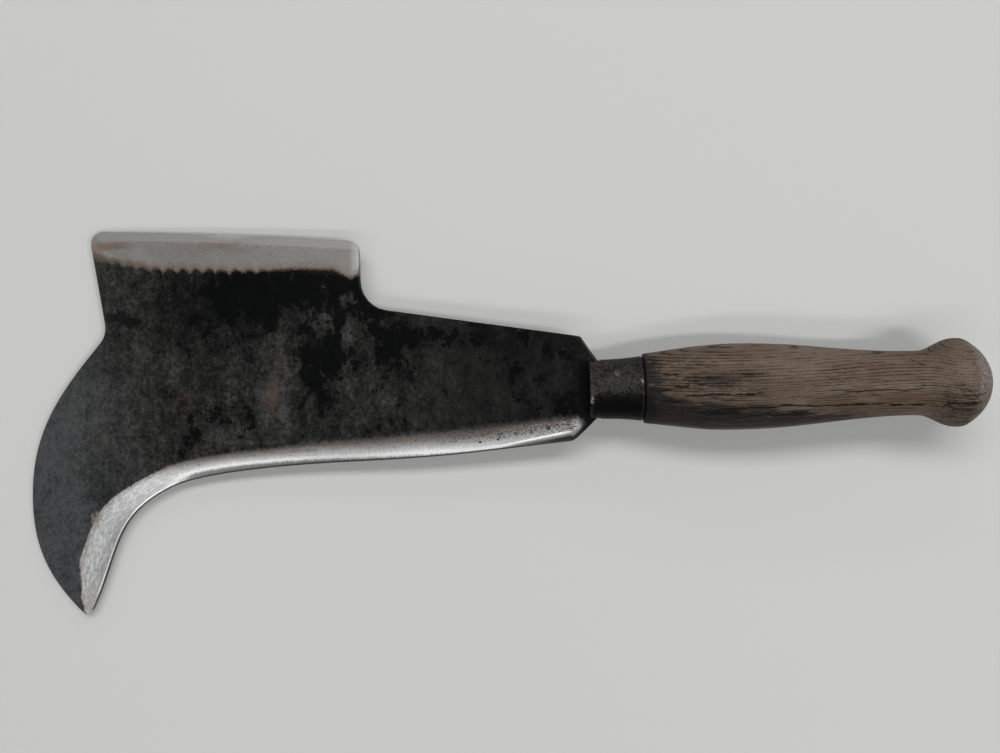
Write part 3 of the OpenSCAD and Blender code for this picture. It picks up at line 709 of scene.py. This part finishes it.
def handleProfile():
    (edgeX, edgeR), bend, ahead = handle["gripEdge"], handle["edgeRound"], handle["gripStart"]
    start = (edgeX + ahead, edgeR + ahead * math.tan(math.radians(handle["gripAngle"])))
    line = [(handle["spigot"][0][0], 0), *handle["spigot"], (edgeX, edgeR - bend),
            (edgeX + 0.3 * bend, edgeR - 0.25 * bend), (edgeX + bend, edgeR + handle["edgeProud"]), start]
    curves = ((start, handle["gripAngle"], handle["swell"], 0), (handle["swell"], 0, handle["neck"], 0),
              (handle["neck"], 0, handle["knob"], 0), (handle["knob"], 0, handle["domeEdge"], handle["knobAngle"]),
              (handle["domeEdge"], handle["domeAngle"], (handle["end"], 0), handle["endAngle"]))
    recess, lip, floorAt = handle["recess"], handle["recessLip"], handle["recessFloor"]
    for curve, steps in zip(curves, handle["steps"]):
        line += [p for p in bezierLine(*curve, steps) if p[1] > recess + lip]
    return line + [(line[-1][0] + lip, recess), (floorAt, recess), (floorAt, 0)]


profile = handleProfile()
bpy.ops.object.select_all(action="DESELECT")
bpy.ops.mesh.primitive_plane_add(size=mm)
handlePiece = bpy.context.object
handlePiece.name = "ashHandle"
openMesh(handlePiece)
bpy.ops.mesh.merge(type="CENTER")
bpy.ops.transform.translate(value=(profile[0][0] * mm, 0, profile[0][1] * mm))
for before, after in zip(profile, profile[1:]):
    step = ((after[0] - before[0]) * mm, 0, (after[1] - before[1]) * mm)
    bpy.ops.mesh.extrude_region_move(TRANSFORM_OT_translate={"value": step})
bpy.ops.mesh.select_all(action="SELECT")
bpy.ops.mesh.spin(steps=handle["around"], angle=2 * math.pi, center=(0, 0, 0), axis=(1, 0, 0))
bpy.ops.mesh.select_all(action="SELECT")
bpy.ops.mesh.remove_doubles(threshold=handle["weld"] * mm)
bpy.ops.mesh.normals_make_consistent(inside=False)
closeMesh()
points = pointsOf(handlePiece.data)
agedFrom, agedOutside = handle["aged"]
often, across, deep = handle["fibres"]
slow, slowHeight = handle["turning"]
for p in points:
    around = math.hypot(p[1], p[2])
    if p[0] > agedFrom and around > agedOutside:
        fibre = noise.noise(Vector((p[0] * often, p[1] * across, p[2] * across)))
        groove = -deep * max(0.0, fibre - handle["fibreLevel"])
        slowAt = Vector((p[0] * slow, p[1] * slow, p[2] * slow + handle["turningPlace"]))
        p[1:] *= 1 + (groove + slowHeight * noise.noise(slowAt) - handle["worn"]) / around
putPoints(handlePiece.data, points)
smoothPiece(handlePiece, handle["smoothAngle"])
print("handle: faces", len(handlePiece.data.polygons))

handleLook = {
    "gloss": 0.13, "bump": (0.7, 0.16),
    "ringStep": 1.15, "ringLean": 0.3,  # mm between growth rings across the top, and how far they lean
    "dashApart": 7.3,  # mm between the pore dashes of one ring and the next, in their grain
    "marks": {  # marks on the upper side: x, y, z and reach in mm, strength
        "darkMarks": [((42, -13, 12), (52, 13, 13), 1.9), ((88, -16, 9), (50, 8, 10), 1.3),
                   ((25, -9, 12), (8, 12, 12), 2.6), ((26, 8, 13), (8, 14, 13), 1.2),
                   ((56, 2.5, 18), (26, 8, 8), 0.75), ((160, -10, 14), (16, 14, 13), 0.85),
                   ((30, -2, 16), (12, 10, 10), 0.3), ((75, -19.5, 0), (80, 7, 12), -1.0)],
        # partly paler wood, partly painted light along the +y side
        "lights": [((77, 11, 15), (36, 5, 8), 0.8), ((134, -1.2, 14), (16, 3.5, 8), 1.2),
                   ((110, 8, 14), (70, 12, 10), 0.5), ((156, 4, 17), (15, 17, 12), 1.5),
                   ((95, 16, 9), (95, 10, 13), 1.5), ((150, -13, 8), (22, 8, 12), 0.9)],
        "black": [((24.5, -9, 12), (6, 9, 11), 1.5), ((54, -11.5, 14), (20, 4, 8), 0.7),
                  ((88, -12.5, 13), (24, 3.5, 8), 0.6)],
    },
    # cracks on the upper side: corners x and y in mm, then width
    "cracks": [(((45, -11.2), (55.6, -9.6), (74, -8.7), (104, -8.4), (134, -8.8), (144, -9.3)), 0.65),
               (((30, -5.8), (38.5, -5.9)), 1.0), (((39, -3.4), (66, -3.1), (74, -3.0)), 0.5),
               (((30.5, 5.9), (38.5, 5.6)), 0.95), (((40, 4.4), (58, 4.0)), 0.45),
               (((107, -3.0), (124, -2.8), (143, -2.2)), 0.4), (((137, 10.9), (144, 7.3)), 0.35),
               (((159, -3.1), (165, -8.4)), 0.4), (((149, -12.4), (151.6, -9.3), (163.7, -8.4)), 0.5),
               (((60, -13.6), (74, -12.2), (92, -12.6)), 0.5), (((41, 3.0), (46, 2.9)), 0.95),
               (((25, -0.6), (35, -1.2)), 0.9), (((62.5, -3.2), (70, -3.0)), 1.0), (((64, 5.6), (68.5, 5.5)), 0.9),
               (((48.8, 4.9), (52, 4.8)), 1.2), (((36, 0.7), (42, 0.4)), 0.85), (((45.5, 1.4), (50, 1.0)), 1.0)],
    "colours": {
        "wood": [(0.0, (0.03, 0.018, 0.012)), (0.3, (0.068, 0.042, 0.027)), (0.6, (0.108, 0.074, 0.052)),
                 (1.0, (0.158, 0.12, 0.093))],
        "pore": (0.003, 0.0028, 0.0027), "darkMark": (0.0055, 0.0058, 0.0058), "darkMarkBrown": (0.025, 0.02, 0.0162),
        "dome": (0.175, 0.15, 0.13), "speck": (0.36, 0.345, 0.325),
    },
    "grains": {  # how often per mm along each axis, detail, roughness
        "wander": ((0.009, 0.07, 0.07), 2.0, 0.5), "slow": ((0.02, 0.12, 0.12), 4.0, 0.6),
        "fibres": ((0.035, 1.3, 1.3), 4.0, 0.65), "thin": ((0.05, 2.2, 2.2), 3.0, 0.65),
        "fine": ((0.16, 4.5, 4.5), 3.0, 0.6), "dash": ((0.08, 0.9, 0.1), 5.0, 0.72),
        "dots": ((0.8, 2.0, 2.0), 2.0, 0.6), "blotch": ((0.07, 0.4, 0.4), 6.0, 0.7),
        "specks": ((0.8, 0.8, 0.8), 4.0, 0.7), "wobble": ((0.11, 0.2, 0.2), 3.0, 0.6),
        "broken": ((0.16, 0.9, 0.9), 4.0, 0.7),
    },
    "spans": {  # x in mm, or y where the name ends in Y: where a look starts and is full, then its two strengths
        "deep": (80, 30, 0.0, 0.12), "dots": (146, 156, 0.0, 0.6), "lively": (85, 40, 0.9, 1.7),
        "pores": (85, 40, -0.5, -0.75), "darkFront": (70, 25, 0.0, -0.2), "frontEdge": (25.6, 24.6),
        "brown": (26, 36), "dome": (164.5, 167.5), "specks": (162, 167, 0.0, 0.75), "specksY": (-9, 1),
    },
}


def woodMaterial():
    material, tree, shader = newMaterial("ashWood")
    coords, x, y, z = placesOf(tree)
    marks, colours, grains, spans = (handleLook[kind] for kind in ("marks", "colours", "grains", "spans"))
    wander, slow, fibres, thin, fine, dotted, blotch, specked, wobble, broken = (
        grainAt(tree, coords, *grains[name]) for name in ("wander", "slow", "fibres", "thin", "fine", "dots", "blotch",
                                                          "specks", "wobble", "broken"))

    # growth rings, cut lengthways, with dashes of open pores in each
    ring = calc(tree, "DIVIDE", blend(tree, z, handleLook["ringLean"], y), handleLook["ringStep"])
    ring = blend(tree, fibres, 0.3, blend(tree, wander, 3.0, ring))
    early = band(tree, calc(tree, "FRACT", ring), (0.0, 0.08), (0.38, 0.22))
    dashAt = joined(tree, x, times(tree, calc(tree, "FLOOR", ring), handleLook["dashApart"]), z)
    dash = grainAt(tree, dashAt, *grains["dash"])
    pores = times(tree, early, fade(tree, dash, 0.4, 0.54))
    deep = times(tree, early, fade(tree, calc(tree, "ADD", dash, fade(tree, x, *spans["deep"])), 0.56, 0.63))
    dots = times(tree, fade(tree, dotted, 0.6, 0.66), fade(tree, x, *spans["dots"]))
    deep = calc(tree, "MAXIMUM", deep, dots)

    lively = fade(tree, x, *spans["lively"])
    tone = 0.62
    for grain, amount in ((slow, 1.2), (fibres, lively), (thin, lively), (fine, 0.5)):
        tone = sway(tree, tone, grain, amount)
    # partly paler wood, partly painted light: the wood is drawn lighter along its +y side
    tone = blend(tree, spotsAt(tree, coords, marks["lights"]), 0.3, tone)
    tone = blend(tree, pores, fade(tree, x, *spans["pores"]), tone)
    tone = calc(tree, "ADD", tone, fade(tree, x, *spans["darkFront"]))

    # the wood darker along the lower side and at the front, and a pale, specked knob end, partly worn and partly
    # painted light
    darkMark = spotsAt(tree, coords, marks["darkMarks"])
    for grain, amount in ((blotch, 2.2), (fibres, 1.8), (dash, 1.5)):
        darkMark = sway(tree, darkMark, grain, amount)
    darkMark = fade(tree, blend(tree, pores, 0.25, darkMark), 0.2, 0.85)
    darkMark = calc(tree, "MAXIMUM", darkMark, fade(tree, x, *spans["frontEdge"]))
    brown = times(tree, fade(tree, thin, 0.46, 0.64), fade(tree, x, *spans["brown"]))
    darkMarkTone = mixColour(tree, brown, colours["darkMark"], colours["darkMarkBrown"])
    # partly worn end grain, partly painted light: the dome is drawn paler, as lit from the knob's end
    dome = times(tree, fade(tree, blend(tree, blotch, 5.0, x), *spans["dome"]), blend(tree, darkMark, -0.8, 1.0),
                 fade(tree, blotch, 0.38, 0.6, 0.25, 0.95))
    specks = times(tree, fade(tree, x, *spans["specks"]), fade(tree, y, *spans["specksY"]))
    specks = times(tree, fade(tree, specked, 0.53, 0.62), specks)

    # open pores, cracks and black places
    wobble = times(tree, calc(tree, "SUBTRACT", wobble, 0.5), 3.0)
    cracks = 0.0
    for corners, width in handleLook["cracks"]:
        cracks = calc(tree, "MAXIMUM", lineAt(tree, (x, y, z), corners, width, wobble), cracks)
    cracks = raggedMark(tree, cracks, broken, 3.0, (0.4, 0.8), (0.02, 0.3))
    black = raggedMark(tree, spotsAt(tree, coords, marks["black"]), blotch, 3.0, (0.25, 0.6), (0.02, 0.25))
    dark = calc(tree, "MAXIMUM", calc(tree, "MAXIMUM", times(tree, deep, 0.75), cracks), black)
    wood = layers(tree, colourSteps(tree, tone, colours["wood"]), (times(tree, darkMark, 0.9), darkMarkTone),
                  (dome, colours["dome"]), (specks, colours["speck"]), (dark, colours["pore"]))
    putLook(tree, shader, {"Base Color": wood, "Specular IOR Level": handleLook["gloss"],
                           "Roughness": blend(tree, fibres, 0.25, 0.42)})
    height = calc(tree, "ADD", times(tree, fine, 0.3), times(tree, fibres, 0.5))
    height = calc(tree, "SUBTRACT", blend(tree, pores, -0.35, height), times(tree, dark, 0.8))
    putBump(tree, shader, height, *handleLook["bump"])
    return material


finishPiece(handlePiece, "handle", woodMaterial())
print("handle done")


# washer and nail: the CAD shapes are right, so they only get a finish
small = {
    "tang_washer": ("washerSteel", (0.045, 0.043, 0.04), (0.15, 0.143, 0.136)),
    "ferrule_nail": ("nailSteel", (0.02, 0.019, 0.018), (0.065, 0.061, 0.057)),
    "mottled": ((0.8, 0.8, 0.8), 4.0, 0.65), "bump": (0.5, 0.1),
}


def smallSteel(name, dark, pale):
    material, tree, shader = newMaterial(name)
    coords = millimetres(tree)
    mottled = grainAt(tree, coords, *small["mottled"])
    rusty, rustColour = rustOn(tree, coords, 0.5, 0.35)
    skin = colourSteps(tree, mottled, [(0.35, dark), (0.65, pale)])
    putLook(tree, shader, {"Base Color": mixColour(tree, times(tree, rusty, 0.5), skin, rustColour),
                           "Metallic": fade(tree, mottled, 0.4, 0.7, 0.2, 0.7),
                           "Roughness": blend(tree, mottled, 0.3, 0.3)})
    putBump(tree, shader, mottled, *small["bump"])
    return material


for nodeName in ("tang_washer", "ferrule_nail"):
    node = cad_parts[nodeName]
    node.data.materials.clear()
    node.data.materials.append(smallSteel(*small[nodeName]))
print("washer and nail done")


# the surface that the tool lies on: it touches the swell and the nose, so it slopes along the handle
stage = {
    "floorSize": 12, "floorColour": (0.595, 0.595, 0.581), "floorRough": 0.65, "floorGloss": 0.3,
    "fill": 0.4, "fillColour": (1, 1, 0.98),
    "balance": -60,  # x in mm where the tool would balance
    "slopes": (-0.1, 0.0, 501),
    # long soft lamps: watts, lean to the north (+) or the south (-), length and width, place along the tool
    "northLamp": (147, 30, (6.0, 1.2), -0.05), "lowLamp": (22, 62, (6.0, 0.8), -0.05),
    "southLamp": (45, -30, (6.0, 0.4), -0.05), "endLamp": (120, -14.5, (3.5, 0.4), 3.1),
    "lampAway": 5.0,  # metres
    "sky": (0.97, 0.99, 1.0), "skyLight": 0.15, "skySeen": 0.42,
}


def straightRays(tree):
    # 1 for what the camera sees or sees mirrored, 0 for light on its way to a surface
    rays = addNode(tree, "LightPath").outputs
    seen = calc(tree, "ADD", rays["Is Camera Ray"], rays["Is Glossy Ray"])
    return calc(tree, "ADD", seen, rays["Is Transmission Ray"], clamp=True)


under = np.concatenate([pointsOf(handlePiece.data), pointsOf(bladePiece.data)])
slopes = np.linspace(*stage["slopes"])
heights = np.array([(under[:, 2] - lean * (under[:, 0] - stage["balance"])).min() for lean in slopes])
tilt = -math.atan(slopes[heights.argmax()])
up = Vector((math.sin(tilt), 0, math.cos(tilt)))
rest = min(under @ np.array(up)) * mm
print("floor: slope in degrees", round(math.degrees(tilt), 3))
bpy.ops.object.select_all(action="DESELECT")
bpy.ops.mesh.primitive_plane_add(size=stage["floorSize"], location=up * rest, rotation=(0, tilt, 0))
floor = bpy.context.object
floor.name = "floor"
material, tree, shader = newMaterial("paleFloor")
putLook(tree, shader, {"Base Color": stage["floorColour"], "Roughness": stage["floorRough"],
                       "Specular IOR Level": stage["floorGloss"]})
below = addNode(tree, "NewGeometry").outputs["Backfacing"]
clear = addNode(tree, "BsdfTransparent").outputs[0]
seen = addNode(tree, "MixShader", {0: below, 1: shader.outputs[0], 2: clear}).outputs[0]
# the light that it throws back is even, so the underside isn't lost
fill = addNode(tree, "Emission", {"Color": stage["fillColour"], "Strength": stage["fill"]}).outputs[0]
seen = addNode(tree, "MixShader", {0: straightRays(tree), 1: fill, 2: seen}).outputs[0]
tree.links.new(seen, tree.nodes["Material Output"].inputs[0])
floor.data.materials.append(material)

for name in ("northLamp", "lowLamp", "southLamp", "endLamp"):
    watts, angle, size, along = stage[name]
    lamp = bpy.data.lights.new(name, "AREA")
    lamp.shape = "RECTANGLE"
    lamp.size, lamp.size_y = size
    lamp.energy = watts
    lampObject = bpy.data.objects.new(name, lamp)
    bpy.context.scene.collection.objects.link(lampObject)
    lean = math.radians(angle)
    away = stage["lampAway"] * Vector((math.sin(tilt), math.sin(lean), math.cos(lean)))
    lampObject.location = Vector((along, 0, 0)) + away
    lampObject.rotation_euler = (-lean, 0, 0)

world = bpy.data.worlds.new("studio")
bpy.context.scene.world = world
world.use_nodes = True
tree = world.node_tree
putLook(tree, tree.nodes["Background"], {
    "Color": stage["sky"], "Strength": mixValue(tree, straightRays(tree), stage["skyLight"], stage["skySeen"])})

# camera: square to the floor, over the middle of the tool
camera = {"lens": 36.0, "sensor": 36.0, "near": 0.01, "far": 50,
          "tilt": 2.45, "turn": 1.16, "place": (-20.42, 6.58, 448.28)}
lean, turn = math.radians(camera["tilt"]), math.radians(camera["turn"])
back = Vector((math.sin(lean), 0, math.cos(lean)))
along = Vector((math.cos(lean), 0, -math.sin(lean)))
side = back.cross(along)
right = math.cos(turn) * along - math.sin(turn) * side
upward = math.sin(turn) * along + math.cos(turn) * side
cameraData = bpy.data.cameras.new("camera")
cameraData.sensor_width = camera["sensor"]
cameraData.lens = camera["lens"]
cameraData.clip_start, cameraData.clip_end = camera["near"], camera["far"]
cameraObject = bpy.data.objects.new("camera", cameraData)
bpy.context.scene.collection.objects.link(cameraObject)
turned = Matrix((right, upward, back)).transposed().to_4x4()
cameraObject.matrix_world = Matrix.Translation(Vector(camera["place"]) * mm) @ turned
bpy.context.scene.camera = cameraObject
bpy.context.scene.view_settings.view_transform = "Standard"
print("stage done")
